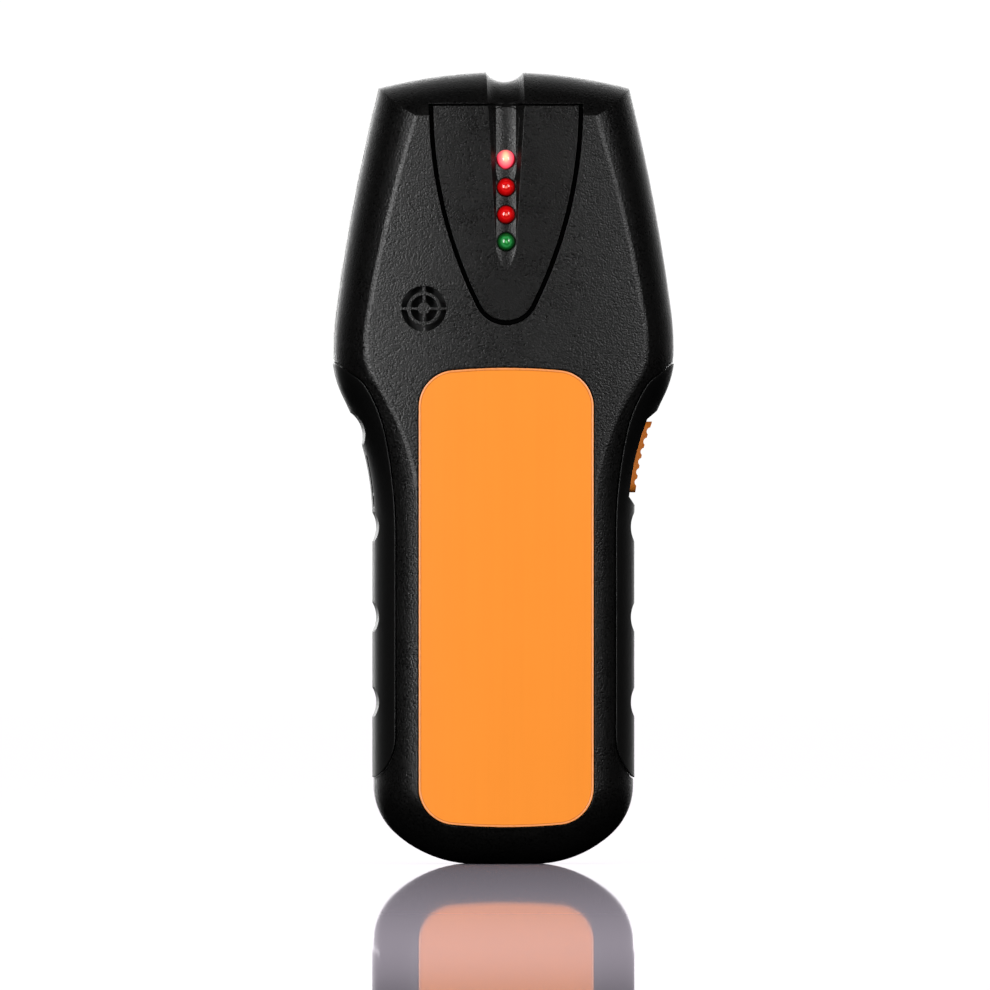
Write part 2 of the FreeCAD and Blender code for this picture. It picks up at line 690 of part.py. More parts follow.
def chip_legs(x, z, width, length, pitch):
    front = BOARD_Y[0]
    count = int(length / pitch)
    first = z - (count - 1) * pitch / 2
    legs = []
    for side in (-1, 1):
        inner = x + side * width / 2
        outer = inner + side * 1.1
        for number in range(count):
            level = first + number * pitch
            legs.append(block(min(inner, outer), max(inner, outer), front - 0.25, front,
                              level - 0.2, level + 0.2))
    return legs




def chip_pins():
    legs = []
    for x, z, width, length, height in CHIPS.values():
        legs += chip_legs(x, z, width, length, CHIP_PITCH)
    return legs


def trimmers():
    """Two square trimming potentiometers with slotted discs."""
    front = BOARD_Y[0]
    pots = []
    for x in (12.5, 20.5):
        z = 114.0
        case = block(x - 3.3, x + 3.3, front - 4.2, front, z - 3.3, z + 3.3)
        disc = rod(2.0, x, z, front - 4.8, front - 4.2)
        slot = block(x - 1.6, x + 1.6, front - 4.8, front - 4.4, z - 0.3, z + 0.3)
        pots.append(case.fuse(disc).cut(slot))
    return pots


def capacitor(x, z):
    front = BOARD_Y[0]
    can = rod(2.5, x, z, front - 6.5, front)
    return round_edges(can, 0.5, lambda edge: edge.BoundBox.YMax < front - 6.4)


def smd_parts():
    """Small resistors and capacitors in two rows."""
    front = BOARD_Y[0]
    parts = []
    for row, x in enumerate((-12.5, -9.5, 13.0, 16.0)):
        for number in range(5):
            z = 97.0 + number * 2.2 if row < 2 else 94.0 + number * 2.2
            parts.append(block(x - 1.0, x + 1.0, front - 0.55, front, z - 0.6, z + 0.6))
    return parts


# ---- battery --------------------------------------------------------------------------------
def battery_box():
    width, depth, height = BATTERY
    y1 = BATTERY_BACK
    return -width / 2, width / 2, y1 - depth, y1, BATTERY_BASE, BATTERY_BASE + height


def battery_jacket():
    x0, x1, y0, y1, z0, z1 = battery_box()
    case = rounded_block(x0, x1, y0, y1, z0, z1, 2.2, V(0, 0, 1))
    hollow = rounded_block(x0 + 0.4, x1 - 0.4, y0 + 0.4, y1 - 0.4, z0 + 0.4, z1, 1.8, V(0, 0, 1))
    return case.cut(hollow)


def battery_cells():
    """Six flat cells stacked inside the jacket."""
    x0, x1, y0, y1, z0, z1 = battery_box()
    margin = 0.45
    top = z1 - 1.6
    pitch = (top - z0 - margin) / 6
    cells = []
    for number in range(6):
        base = z0 + margin + number * pitch
        cells.append(rounded_block(x0 + margin, x1 - margin, y0 + margin, y1 - margin,
                                   base, base + pitch - 0.3, 2.0, V(0, 0, 1)))
    return cells


def battery_end():
    x0, x1, y0, y1, z0, z1 = battery_box()
    return rounded_block(x0 + 0.42, x1 - 0.42, y0 + 0.42, y1 - 0.42, z1 - 1.5, z1 - 0.2, 2.0, V(0, 0, 1))


def upright(radius, x, y, z0, z1):
    return Part.makeCylinder(radius, z1 - z0, V(x, y, z0), V(0, 0, 1))




def battery_middle():
    return BATTERY_BACK - BATTERY[1] / 2


def battery_positive():
    top = BATTERY_BASE + BATTERY[2] - 0.2
    y = battery_middle()
    stud = upright(2.9, -TERMINAL_X, y, top, top + 1.8)
    return stud.fuse(upright(3.1, -TERMINAL_X, y, top + 1.2, top + 1.8))


def battery_negative():
    """The hexagonal socket contact."""
    top = BATTERY_BASE + BATTERY[2] - 0.2
    y = battery_middle()
    turns = [math.radians(60 * k) for k in range(7)]
    corners = [V(TERMINAL_X + 4.0 * math.cos(turn), y + 4.0 * math.sin(turn), top)
               for turn in turns]
    socket = Part.Face(Part.makePolygon(corners)).extrude(V(0, 0, 1.9))
    return socket.cut(upright(3.0, TERMINAL_X, y, top + 0.5, top + 3))


def snap_cap():
    base = BATTERY_BASE + BATTERY[2] + 2.1
    y = battery_middle()
    cap = rounded_block(-12.8, 12.8, y - 6.2, y + 6.2, base, base + 2.4, 3.0, V(0, 0, 1))
    return round_edges(cap, 0.6, lambda edge: edge.BoundBox.ZMin > base + 2.3)


def snap_contacts():
    """The cap's own socket and stud, which face the battery's stud and socket."""
    base = BATTERY_BASE + BATTERY[2] + 2.1
    y = battery_middle()
    socket = upright(4.2, -TERMINAL_X, y, base - 1.6, base)
    socket = socket.cut(upright(3.2, -TERMINAL_X, y, base - 1.6, base - 0.4))
    stud = upright(2.7, TERMINAL_X, y, base - 1.4, base)
    return [socket, stud]


def battery_lead(x):
    """A lead that rises from the snap cap and turns forward onto the board."""
    radius = 0.6
    bend = 4.2
    y = 3.6
    start = V(x, y, BATTERY_BASE + BATTERY[2] + 4.5)
    corner_z = 76.0
    before = V(x, y, corner_z - bend)
    after = V(x, y - bend, corner_z)
    middle = V(x, y - bend + bend * math.cos(math.pi / 4), corner_z - bend + bend * math.sin(math.pi / 4))
    end = V(x, BOARD_Y[1], corner_z)
    path = Part.Wire([Part.makeLine(start, before), Part.Arc(before, middle, after).toShape(),
                      Part.makeLine(after, end)])
    section = Part.Wire(Part.makeCircle(radius, start, V(0, 0, 1)))
    return path.makePipeShell([section], True, True)


def battery_door():
    low, high = DOOR_Z
    inner = BACK - DOOR_THICK
    plate = rounded_block(-DOOR_HALF, DOOR_HALF, inner, BACK, low, high, 1.8, V(0, 1, 0))
    axis_y = BACK - HINGE_RADIUS
    knuckles = [bar(HINGE_RADIUS, axis_y, low, x - 2.5, x + 2.5) for x in (-10.0, 10.0)]
    edge = block(-DOOR_HALF, DOOR_HALF, inner, BACK, low - 1, low + 0.4)
    fingers = [rod(9.0, 0, high + 5.4, BACK - 0.5, BACK + 1)]
    ribs = [block(-6.0, 6.0, BACK - 0.3, BACK + 1, high - 6.4 - step, high - 5.9 - step)
            for step in (0, 1.6, 3.2)]
    plate = plate.cut(edge)
    for tool in fingers + ribs:
        plate = plate.cut(tool)
    return joined([plate] + [joined([k, block(k.BoundBox.XMin, k.BoundBox.XMax, inner, BACK, low, low + 0.5)])
                             for k in knuckles])


def door_foam():
    return rounded_block(-9.0, 9.0, BATTERY_BACK + 0.1, BACK - DOOR_THICK, 24.0, 48.0, 1.5, V(0, 1, 0))


# ---- fasteners ------------------------------------------------------------------------------
def screw(x, z, head_y, way, head_radius, shank_radius, length):
    """A pan-head screw along Y with a cross recess; way is +1 where the head faces the back."""
    tip = head_y - way * length
    shank = rod(shank_radius, x, z, min(head_y, tip), max(head_y, tip))
    top = head_y + way * head_radius * 0.7
    head = rod(head_radius, x, z, min(head_y, top), max(head_y, top))
    outer = top
    head = round_edges(head, head_radius * 0.3,
                       lambda edge: (abs(edge.BoundBox.YMin - outer) < 0.01
                                     and abs(edge.BoundBox.YMax - outer) < 0.01))
    deep = top - way * head_radius * 0.5
    low, high = sorted((top + way, deep))
    arm = head_radius * 0.6
    thin = head_radius * 0.13
    cross = block(x - arm, x + arm, low, high, z - thin, z + thin)
    cross = cross.fuse(block(x - thin, x + thin, low, high, z - arm, z + arm))
    return shank.fuse(head).cut(cross)


def case_screws():
    return [screw(x, z, BACK - 2.6, 1, 2.6, 1.15, 15.0) for x, z in HEAD_SCREWS + FOOT_SCREWS]


def board_screws():
    return [screw(x, z, BOARD_Y[1], 1, 1.7, 0.75, 5.5) for x, z in BOARD_SCREWS]


# ---- export ---------------------------------------------------------------------------------
def solids_of(shape):
    shapes = shape if isinstance(shape, list) else [shape]
    found = []
    for one in shapes:
        found += one.Solids
    return found


def write(name, shape):
    solids = solids_of(shape)
    whole = Part.Compound(solids) if len(solids) > 1 else solids[0]
    state = "" if all(solid.isValid() for solid in solids) else "  NOT VALID"
    print("%-20s %2d solid  %9.2f mm3%s" % (name, len(solids), whole.Volume, state))
    whole.exportStep("parts/" + name + ".step")


def main():
    os.makedirs("parts", exist_ok=True)
    left, right = grips()
    nodes = {
        "front_shell": front_shell(),
        "back_shell": back_shell(),
        "grip_left": left,
        "grip_right": right,
        "led_bezel": led_bezel(),
        "label_panel": label_panel(),
        "back_label": back_label(),
        "scan_button": scan_button(),
        "scan_switch_body": scan_switch_body(),
        "scan_switch_stem": scan_switch_stem(),
        "button_spring": button_spring(),
        "mode_knob": mode_knob(),
        "mode_switch_body": mode_switch_body(),
        "mode_switch_slider": mode_switch_slider(),
        "main_board": main_board(),
        "sensor_plates": sensor_plates(),
        "metal_coil": metal_coil(),
        "buzzer": buzzer(),
        "buzzer_gasket": buzzer_gasket(),
        "led_holder": led_holder(),
        "led_leads": led_leads(),
        "chip_pins": chip_pins(),
        "trimmers": trimmers(),
        "capacitor": capacitor(1.5, 112.5),
        "smd_parts": smd_parts(),
        "battery_jacket": battery_jacket(),
        "battery_cells": battery_cells(),
        "battery_end": battery_end(),
        "battery_positive": battery_positive(),
        "battery_negative": battery_negative(),
        "snap_cap": snap_cap(),
        "snap_contacts": snap_contacts(),
        "red_lead": battery_lead(-4.0),
        "black_lead": battery_lead(4.0),
        "battery_door": battery_door(),
        "door_foam": door_foam(),
        "case_screws": case_screws(),
        "board_screws": board_screws(),
    }
    for name, z in zip(("led_red_1", "led_red_2", "led_red_3", "led_green"), LAMP_Z):
        nodes[name] = lamp(z)
    for name, place in CHIPS.items():
        nodes[name] = chip(*place)
    for name, shape in nodes.items():
        write(name, shape)


main()
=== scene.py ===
import math

import bmesh
import bpy
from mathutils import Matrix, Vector


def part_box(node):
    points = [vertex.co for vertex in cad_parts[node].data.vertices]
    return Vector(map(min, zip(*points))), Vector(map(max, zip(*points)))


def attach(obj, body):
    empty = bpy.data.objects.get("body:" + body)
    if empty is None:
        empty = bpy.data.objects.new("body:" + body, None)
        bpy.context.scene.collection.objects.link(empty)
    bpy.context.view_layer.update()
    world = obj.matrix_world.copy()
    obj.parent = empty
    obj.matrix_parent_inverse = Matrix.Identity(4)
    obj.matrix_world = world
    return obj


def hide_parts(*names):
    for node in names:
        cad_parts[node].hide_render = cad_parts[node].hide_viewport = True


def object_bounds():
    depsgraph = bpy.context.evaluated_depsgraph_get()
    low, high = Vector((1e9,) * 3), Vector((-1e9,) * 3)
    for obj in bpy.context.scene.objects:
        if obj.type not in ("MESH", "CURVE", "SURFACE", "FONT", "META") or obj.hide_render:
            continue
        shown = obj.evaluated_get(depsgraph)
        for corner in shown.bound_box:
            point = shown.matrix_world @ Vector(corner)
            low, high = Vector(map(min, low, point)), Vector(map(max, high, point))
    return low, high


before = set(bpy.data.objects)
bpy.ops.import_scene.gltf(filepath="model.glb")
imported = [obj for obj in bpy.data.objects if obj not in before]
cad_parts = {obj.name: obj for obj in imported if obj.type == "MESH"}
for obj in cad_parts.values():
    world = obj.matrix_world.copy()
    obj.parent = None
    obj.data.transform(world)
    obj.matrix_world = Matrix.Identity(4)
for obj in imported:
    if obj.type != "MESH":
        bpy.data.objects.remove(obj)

cad_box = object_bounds()
MM = 0.001


# ---- material helpers ---------------------------------------------------------------------
class Surface:
    """One material, with short calls for the nodes that make it up."""

    def __init__(self, name, roughness=0.5, **settings):
        self.material = bpy.data.materials.new(name)
        self.material.use_nodes = True
        self.tree = self.material.node_tree
        self.shader = self.tree.nodes["Principled BSDF"]
        self.shader.inputs["Roughness"].default_value = roughness
        for socket, value in settings.items():
            self.shader.inputs[socket.replace("_", " ")].default_value = value
        self.place = self.node("ShaderNodeTexCoord").outputs["Object"]

    def node(self, kind, **settings):
        made = self.tree.nodes.new(kind)
        for key, value in settings.items():
            setattr(made, key, value)
        return made

    def link(self, source, target):
        self.tree.links.new(source, target)

    def noise(self, size, detail=2.0, stretch=(1, 1, 1)):
        """Noise whose blobs are about this many metres across."""
        place = self.place
        if tuple(stretch) != (1, 1, 1):
            mapping = self.node("ShaderNodeMapping")
            mapping.inputs["Scale"].default_value = stretch
            self.link(place, mapping.inputs["Vector"])
            place = mapping.outputs["Vector"]
        made = self.node("ShaderNodeTexNoise")
        made.inputs["Scale"].default_value = 1 / size
        made.inputs["Detail"].default_value = detail
        self.link(place, made.inputs["Vector"])
        return made.outputs["Fac"]

    def cells(self, size):
        """Distance to the nearest of scattered points, for foam bubbles this many metres across."""
        made = self.node("ShaderNodeTexVoronoi", feature="F1")
        made.inputs["Scale"].default_value = 1 / size
        self.link(self.place, made.inputs["Vector"])
        return made.outputs["Distance"]

    def ramp(self, value, stops):
        """Maps a value to colours or greys given as (position, colour)."""
        made = self.node("ShaderNodeValToRGB")
        points = made.color_ramp.elements
        while len(points) < len(stops):
            points.new(0.5)
        for point, (position, colour) in zip(points, stops):
            point.position = position
            if not isinstance(colour, (tuple, list)):
                colour = (colour, colour, colour)
            point.color = (*colour, 1.0)
        self.link(value, made.inputs["Fac"])
        return made.outputs["Color"]

    def spread(self, value, low, high):
        """Stretches the middle of a noise value's range to run from low to high."""
        made = self.node("ShaderNodeMapRange")
        made.inputs["From Min"].default_value = 0.3
        made.inputs["From Max"].default_value = 0.7
        made.inputs["To Min"].default_value = low
        made.inputs["To Max"].default_value = high
        self.link(value, made.inputs["Value"])
        return made.outputs["Result"]

    def maths(self, operation, first, second):
        made = self.node("ShaderNodeMath", operation=operation)
        for socket, value in zip(made.inputs, (first, second)):
            if isinstance(value, (int, float)):
                socket.default_value = value
            else:
                self.link(value, socket)
        return made.outputs["Value"]

    def mix(self, factor, first, second):
        made = self.node("ShaderNodeMix", data_type="RGBA")
        sockets = (made.inputs[0], made.inputs[6], made.inputs[7])
        for socket, value in zip(sockets, (factor, first, second)):
            if isinstance(value, (tuple, list)):
                socket.default_value = (*value, 1.0)
            elif isinstance(value, (int, float)):
                socket.default_value = value
            else:
                self.link(value, socket)
        return made.outputs[2]

    def colour(self, value):
        self.link(value, self.shader.inputs["Base Color"])

    def rough(self, value, low, high):
        self.link(self.spread(value, low, high), self.shader.inputs["Roughness"])

    def bump(self, value, height, edge=0.0):
        """Relief of this height in metres, with corners softened over the edge radius."""
        made = self.node("ShaderNodeBump")
        made.inputs["Distance"].default_value = height
        self.link(value, made.inputs["Height"])
        if edge:
            self.link(self.soft_edge(edge), made.inputs["Normal"])
        self.link(made.outputs["Normal"], self.shader.inputs["Normal"])

    def soft_edge(self, radius):
        made = self.node("ShaderNodeBevel", samples=6)
        made.inputs["Radius"].default_value = radius
        return made.outputs["Normal"]

    def wear(self, value, amount, colour):
        """Lightens the convex edges, as handling does."""
        point = self.node("ShaderNodeNewGeometry").outputs["Pointiness"]
        worn = self.ramp(point, ((0.505, 0.0), (0.58, amount)))
        return self.mix(worn, value, colour)


def moulded(name, low, high, grain, height, shine, edge, tint=(1.0, 0.97, 0.95), specular=0.5):
    """Grained plastic or rubber: fine pimples over a slow change of tone and gloss.

    low and high are the greys between and on the pimples, grain and height the pimples' size,
    shine the least and most roughness, and edge the radius that softens the corners.
    """
    made = Surface(name, Specular_IOR_Level=specular)
    dark = tuple(low * part for part in tint)
    light = tuple(high * part for part in tint)
    pimples = made.noise(grain, 2.5)
    patches = made.noise(9 * MM, 3.0)
    speckle = made.ramp(pimples, ((0.32, dark), (0.68, light)))
    faded = made.mix(made.spread(patches, 0.0, 0.3), speckle, dark)
    made.colour(made.wear(faded, 0.25, (high * 2.5, high * 2.4, high * 2.3)))
    fine = made.maths("MULTIPLY", pimples, 0.7)
    slow = made.maths("MULTIPLY", patches, 0.3)
    made.rough(made.maths("ADD", fine, slow), *shine)
    made.bump(pimples, height, edge)
    return made.material


def metal(name, colour, roughness, scratch):
    """Plated or drawn metal, with fine lines along its height and duller patches."""
    made = Surface(name, Metallic=1.0)
    drawn = made.noise(scratch, 3.0, (1.0, 1.0, 0.12))
    patches = made.noise(2.4 * MM, 2.0)
    made.colour(made.mix(made.spread(patches, 0.0, 0.6), colour, tuple(0.55 * part for part in colour)))
    made.rough(drawn, roughness * 0.75, roughness * 1.3)
    made.bump(drawn, 0.006 * MM, 0.1 * MM)
    return made.material


def plain_plastic(name, colour, roughness, texture=0.5 * MM, **settings):
    """Smooth moulded plastic, with a slow change of tone and a fine tooth."""
    made = Surface(name, **settings)
    fine = made.noise(texture, 2.0)
    slow = made.noise(6 * MM, 2.0)
    made.colour(made.mix(made.spread(slow, 0.0, 0.5), colour, tuple(0.78 * part for part in colour)))
    made.rough(fine, roughness * 0.85, roughness * 1.15)
    made.bump(fine, 0.008 * MM, 0.12 * MM)
    return made.material


# ---- the materials ------------------------------------------------------------------------
def orange_film():
    """A printed film: even orange, very faint long streaks, a fine satin tooth."""
    made = Surface("orange_film", Specular_IOR_Level=0.18)
    streaks = made.noise(1.1 * MM, 2.0, (1.0, 1.0, 0.02))
    cloud = made.noise(14 * MM, 2.0)
    tooth = made.noise(0.28 * MM, 2.0)
    base = made.ramp(streaks, ((0.3, (0.880, 0.258, 0.022)), (0.7, (0.90, 0.266, 0.023))))
    made.colour(made.mix(made.spread(cloud, 0.0, 0.35), base, (0.90, 0.272, 0.026)))
    made.rough(tooth, 0.42, 0.52)
    made.bump(tooth, 0.0025 * MM, 0.25 * MM)
    return made.material


def painted_highlight_orange():
    """The film's rolled edge, in an orange made paler as a painted highlight along the edge, and
    glossier.
    """
    made = Surface("orange_rim_painted_highlight", Specular_IOR_Level=0.5)
    mottle = made.noise(0.8 * MM, 2.0)
    # Painted highlight: the paler orange stands for light caught on the rolled edge.
    made.colour(made.ramp(mottle, ((0.3, (0.80, 0.285, 0.085)), (0.7, (0.88, 0.33, 0.11)))))
    made.rough(mottle, 0.25, 0.4)
    made.bump(mottle, 0.003 * MM)
    return made.material


def line_orange():
    """The fine pressed line inside the edge, a shade darker."""
    made = Surface("orange_line", Specular_IOR_Level=0.2)
    mottle = made.noise(0.8 * MM, 2.0)
    made.colour(made.ramp(mottle, ((0.3, (0.58, 0.145, 0.014)), (0.7, (0.64, 0.17, 0.018)))))
    made.rough(mottle, 0.4, 0.55)
    made.bump(mottle, 0.003 * MM)
    return made.material


def orange_rubber():
    """The button's satin orange, a little deeper than the film's."""
    made = Surface("orange_rubber", Specular_IOR_Level=0.4)
    grain = made.noise(0.3 * MM, 2.0)
    slow = made.noise(3 * MM, 2.0)
    base = made.ramp(grain, ((0.3, (0.80, 0.21, 0.018)), (0.7, (0.90, 0.27, 0.030))))
    made.colour(made.mix(made.spread(slow, 0.0, 0.3), base, (0.70, 0.16, 0.012)))
    made.rough(grain, 0.38, 0.5)
    made.bump(grain, 0.008 * MM, 0.12 * MM)
    return made.material


def lamp_lens(name, node, stops, glow=None):
    """A tinted epoxy dome whose colour is painted light, set by how far each point is from the lamp's own
    axis: a painted highlight and painted refraction rings near the middle, and painted shade towards the
    rim.

    glow lights it from inside, brightest a little above its middle.
    """
    low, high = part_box(node)
    centre = (low + high) / 2
    radius = (high.x - low.x) / 2
    made = Surface(name, roughness=0.16, IOR=1.5, Coat_Weight=0.15, Coat_Roughness=0.05)
    offset = made.node("ShaderNodeVectorMath", operation="SUBTRACT")
    offset.inputs[1].default_value = (centre.x, 0.0, centre.z)
    made.link(made.place, offset.inputs[0])
    flat = made.node("ShaderNodeVectorMath", operation="MULTIPLY")
    flat.inputs[1].default_value = (1 / radius, 0.0, 1 / radius)
    made.link(offset.outputs["Vector"], flat.inputs[0])
    length = made.node("ShaderNodeVectorMath", operation="LENGTH")
    made.link(flat.outputs["Vector"], length.inputs[0])
    swirl = made.maths("MULTIPLY", made.spread(made.noise(0.5 * MM, 2.0), -0.5, 0.5), 0.07)
    # Painted light: the ramp paints a highlight and refraction rings near the middle and shade towards
    # the rim.
    made.colour(made.ramp(made.maths("ADD", length.outputs["Value"], swirl), stops))
    if glow:
        shift = made.node("ShaderNodeVectorMath", operation="SUBTRACT")
        shift.inputs[1].default_value = (-0.04, 0.0, 0.30)
        made.link(flat.outputs["Vector"], shift.inputs[0])
        stretch = made.node("ShaderNodeVectorMath", operation="MULTIPLY")
        stretch.inputs[1].default_value = (1.25, 1.0, 0.85)
        made.link(shift.outputs["Vector"], stretch.inputs[0])
        core = made.node("ShaderNodeVectorMath", operation="LENGTH")
        made.link(stretch.outputs["Vector"], core.inputs[0])
        made.link(made.ramp(core.outputs["Value"], glow), made.shader.inputs["Emission Color"])
        made.shader.inputs["Emission Strength"].default_value = 1.0
    return made.material


def circuit_board():
    """Green solder mask over faint copper tracks."""
    made = Surface("solder_mask", Specular_IOR_Level=0.5, Coat_Weight=0.4, Coat_Roughness=0.15)
    brick = made.node("ShaderNodeTexBrick")
    mapping = made.node("ShaderNodeMapping")
    mapping.inputs["Rotation"].default_value = (math.pi / 2, 0.0, 0.0)
    made.link(made.place, mapping.inputs["Vector"])
    made.link(mapping.outputs["Vector"], brick.inputs["Vector"])
    brick.inputs["Scale"].default_value = 1 / (4 * MM)
    brick.inputs["Mortar Size"].default_value = 0.05
    tracks = made.mix(brick.outputs["Fac"], (0.006, 0.085, 0.030), (0.012, 0.16, 0.055))
    cloud = made.noise(5 * MM, 3.0)
    made.colour(made.mix(made.spread(cloud, 0.0, 0.4), tracks, (0.004, 0.06, 0.022)))
    made.rough(cloud, 0.28, 0.4)
    made.bump(brick.outputs["Fac"], 0.02 * MM, 0.1 * MM)
    return made.material


def foam():
    """Black open-celled foam."""
    made = Surface("black_foam", Specular_IOR_Level=0.2)
    bubbles = made.cells(0.55 * MM)
    made.colour(made.ramp(bubbles, ((0.1, 0.004), (0.8, 0.03))))
    made.rough(bubbles, 0.85, 1.0)
    made.bump(bubbles, 0.12 * MM)
    return made.material


def battery_wrap():
    """A plain printed metal jacket: dark body with a warm band near one end."""
    low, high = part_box("battery_jacket")
    made = Surface("battery_wrap", Metallic=0.6, Coat_Weight=0.3, Coat_Roughness=0.2)
    split = made.node("ShaderNodeSeparateXYZ")
    made.link(made.place, split.inputs["Vector"])
    height = made.node("ShaderNodeMapRange")
    height.inputs["From Min"].default_value = low.z
    height.inputs["From Max"].default_value = high.z
    made.link(split.outputs["Z"], height.inputs["Value"])
    band = made.ramp(height.outputs["Result"],
                     ((0.0, (0.02, 0.022, 0.026)), (0.70, (0.02, 0.022, 0.026)),
                      (0.705, (0.62, 0.33, 0.08)), (1.0, (0.70, 0.40, 0.11))))
    scuff = made.noise(0.8 * MM, 4.0)
    made.colour(made.mix(made.spread(scuff, 0.0, 0.12), band, (0.35, 0.33, 0.3)))
    made.rough(scuff, 0.25, 0.38)
    made.bump(scuff, 0.006 * MM, 0.15 * MM)
    return made.material


def silver_label():
    """A blank label of brushed foil."""
    made = Surface("silver_label", Metallic=0.55, Specular_IOR_Level=0.5)
    brushed = made.noise(0.25 * MM, 3.0, (0.04, 1.0, 1.0))
    cloud = made.noise(9 * MM, 2.0)
    base = made.ramp(brushed, ((0.3, (0.36, 0.365, 0.37)), (0.7, (0.47, 0.475, 0.48))))
    made.colour(made.mix(made.spread(cloud, 0.0, 0.3), base, (0.42, 0.42, 0.43)))
    made.rough(brushed, 0.32, 0.45)
    made.bump(brushed, 0.003 * MM, 0.1 * MM)
    return made.material


shell_black = moulded("shell_black", 0.0005, 0.0040, grain=0.38 * MM, height=0.10 * MM,
                      shine=(0.22, 0.44), edge=0.22 * MM, specular=0.3)
bezel_black = moulded("bezel_black", 0.0005, 0.0036, grain=0.34 * MM, height=0.080 * MM,
                      shine=(0.22, 0.42), edge=0.20 * MM, specular=0.24)
grip_black = moulded("grip_black", 0.0008, 0.0024, grain=0.28 * MM, height=0.045 * MM,
                     shine=(0.36, 0.46), edge=0.30 * MM, tint=(0.98, 0.98, 1.0), specular=0.28)
dark_plastic = plain_plastic("dark_plastic", (0.012, 0.012, 0.012), 0.4)
nylon = plain_plastic("white_nylon", (0.72, 0.70, 0.64), 0.45, Subsurface_Weight=0.05)
red_wire = plain_plastic("red_wire", (0.45, 0.015, 0.012), 0.35, 1.0 * MM)
black_wire = plain_plastic("black_wire", (0.014, 0.014, 0.015), 0.35, 1.0 * MM)
orange_panel = orange_film()
orange_key = orange_rubber()
copper = metal("copper", (0.78, 0.36, 0.20), 0.30, 0.3 * MM)
tin = metal("tin", (0.66, 0.66, 0.64), 0.32, 0.3 * MM)
spring_steel = metal("spring_steel", (0.52, 0.52, 0.53), 0.24, 0.2 * MM)
zinc = metal("zinc_plate", (0.62, 0.63, 0.66), 0.28, 0.25 * MM)
can = metal("cell_can", (0.58, 0.58, 0.60), 0.26, 0.6 * MM)

# Painted light in the lamps' colours, from the middle of a lamp (0) to its rim (1): a painted highlight
# and painted refraction rings near the middle, painted shade at the rim; GLOW is the light that the lit
# one gives.
RED_LENS_PAINTED_LIGHT = ((0.0, (1.0, 0.42, 0.30)), (0.10, (0.85, 0.05, 0.03)), (0.22, (0.46, 0.002, 0.003)),
             (0.38, (0.74, 0.010, 0.010)), (0.52, (0.58, 0.002, 0.003)), (0.72, (0.52, 0.001, 0.002)),
             (0.86, (0.12, 0.0005, 0.001)), (1.0, (0.02, 0.0, 0.0)))
LIT_LENS_PAINTED_LIGHT = ((0.0, (0.9, 0.25, 0.2)), (0.7, (0.7, 0.03, 0.06)), (0.85, (0.35, 0.004, 0.01)))
GLOW = ((0.0, (1.0, 0.80, 0.42)), (0.26, (1.0, 0.58, 0.30)), (0.50, (0.98, 0.22, 0.20)),
        (0.86, (0.86, 0.075, 0.13)), (1.04, (0.34, 0.006, 0.015)), (1.2, (0.05, 0.0, 0.001)))
GREEN_LENS_PAINTED_LIGHT = ((0.0, (0.20, 0.66, 0.26)), (0.10, (0.03, 0.32, 0.06)), (0.24, (0.006, 0.13, 0.02)),
               (0.42, (0.03, 0.29, 0.07)), (0.56, (0.006, 0.12, 0.02)), (0.76, (0.002, 0.045, 0.006)),
               (0.88, (0.001, 0.010, 0.002)))

# ---- what each part of the frame is made of -------------------------------------------------
finishes = {
    "front_shell": shell_black, "back_shell": shell_black, "battery_door": shell_black,
    "mode_knob": shell_black, "led_bezel": bezel_black, "grip_left": grip_black, "grip_right": grip_black,
    "label_panel": orange_panel, "scan_button": orange_key, "back_label": silver_label(),
    "led_red_1": lamp_lens("lens_red_lit", "led_red_1", LIT_LENS_PAINTED_LIGHT, GLOW),
    "led_red_2": lamp_lens("lens_red_2", "led_red_2", RED_LENS_PAINTED_LIGHT),
    "led_red_3": lamp_lens("lens_red_3", "led_red_3", RED_LENS_PAINTED_LIGHT),
    "led_green": lamp_lens("lens_green", "led_green", GREEN_LENS_PAINTED_LIGHT),
    "led_holder": nylon, "led_leads": tin, "main_board": circuit_board(), "sensor_plates": copper,
    "metal_coil": nylon, "buzzer": dark_plastic, "buzzer_gasket": foam(), "chip_pins": tin,
    "controller_chip": dark_plastic, "amplifier_chip": dark_plastic, "trimmers": nylon,
    "capacitor": dark_plastic, "smd_parts": tin, "battery_jacket": battery_wrap(), "battery_cells": can,
    "battery_end": dark_plastic, "battery_positive": tin, "battery_negative": tin,
    "snap_cap": dark_plastic, "snap_contacts": tin,
    "red_lead": red_wire, "black_lead": black_wire, "door_foam": foam(), "case_screws": zinc,
    "board_screws": zinc, "scan_switch_body": dark_plastic, "scan_switch_stem": nylon,
    "button_spring": spring_steel, "mode_switch_body": zinc, "mode_switch_slider": nylon,
}
for name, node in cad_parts.items():
    node.data.materials.clear()
    node.data.materials.append(finishes[name])


# ---- helpers for the added pieces ------------------------------------------------------------
def mesh_piece(name, build, material, body="root"):
    """Makes a piece from a function that fills a bmesh."""
    data = bpy.data.meshes.new(name)
    work = bmesh.new()
    build(work)
    bmesh.ops.recalc_face_normals(work, faces=work.faces)
    work.to_mesh(data)
    work.free()
    made = bpy.data.objects.new(name, data)
    bpy.context.collection.objects.link(made)
    data.materials.append(material)
    for polygon in data.polygons:
        polygon.use_smooth = True
    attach(made, body)
    return made


def join_rings(work, rings, closed=False):
    """Makes the faces between each ring of points and the next; each ring is itself closed."""
    pairs = list(zip(rings, rings[1:]))
    if closed:
        pairs.append((rings[-1], rings[0]))
    for first, second in pairs:
        for corner in range(len(first)):
            ahead = (corner + 1) % len(first)
            work.faces.new((first[corner], first[ahead], second[ahead], second[corner]))


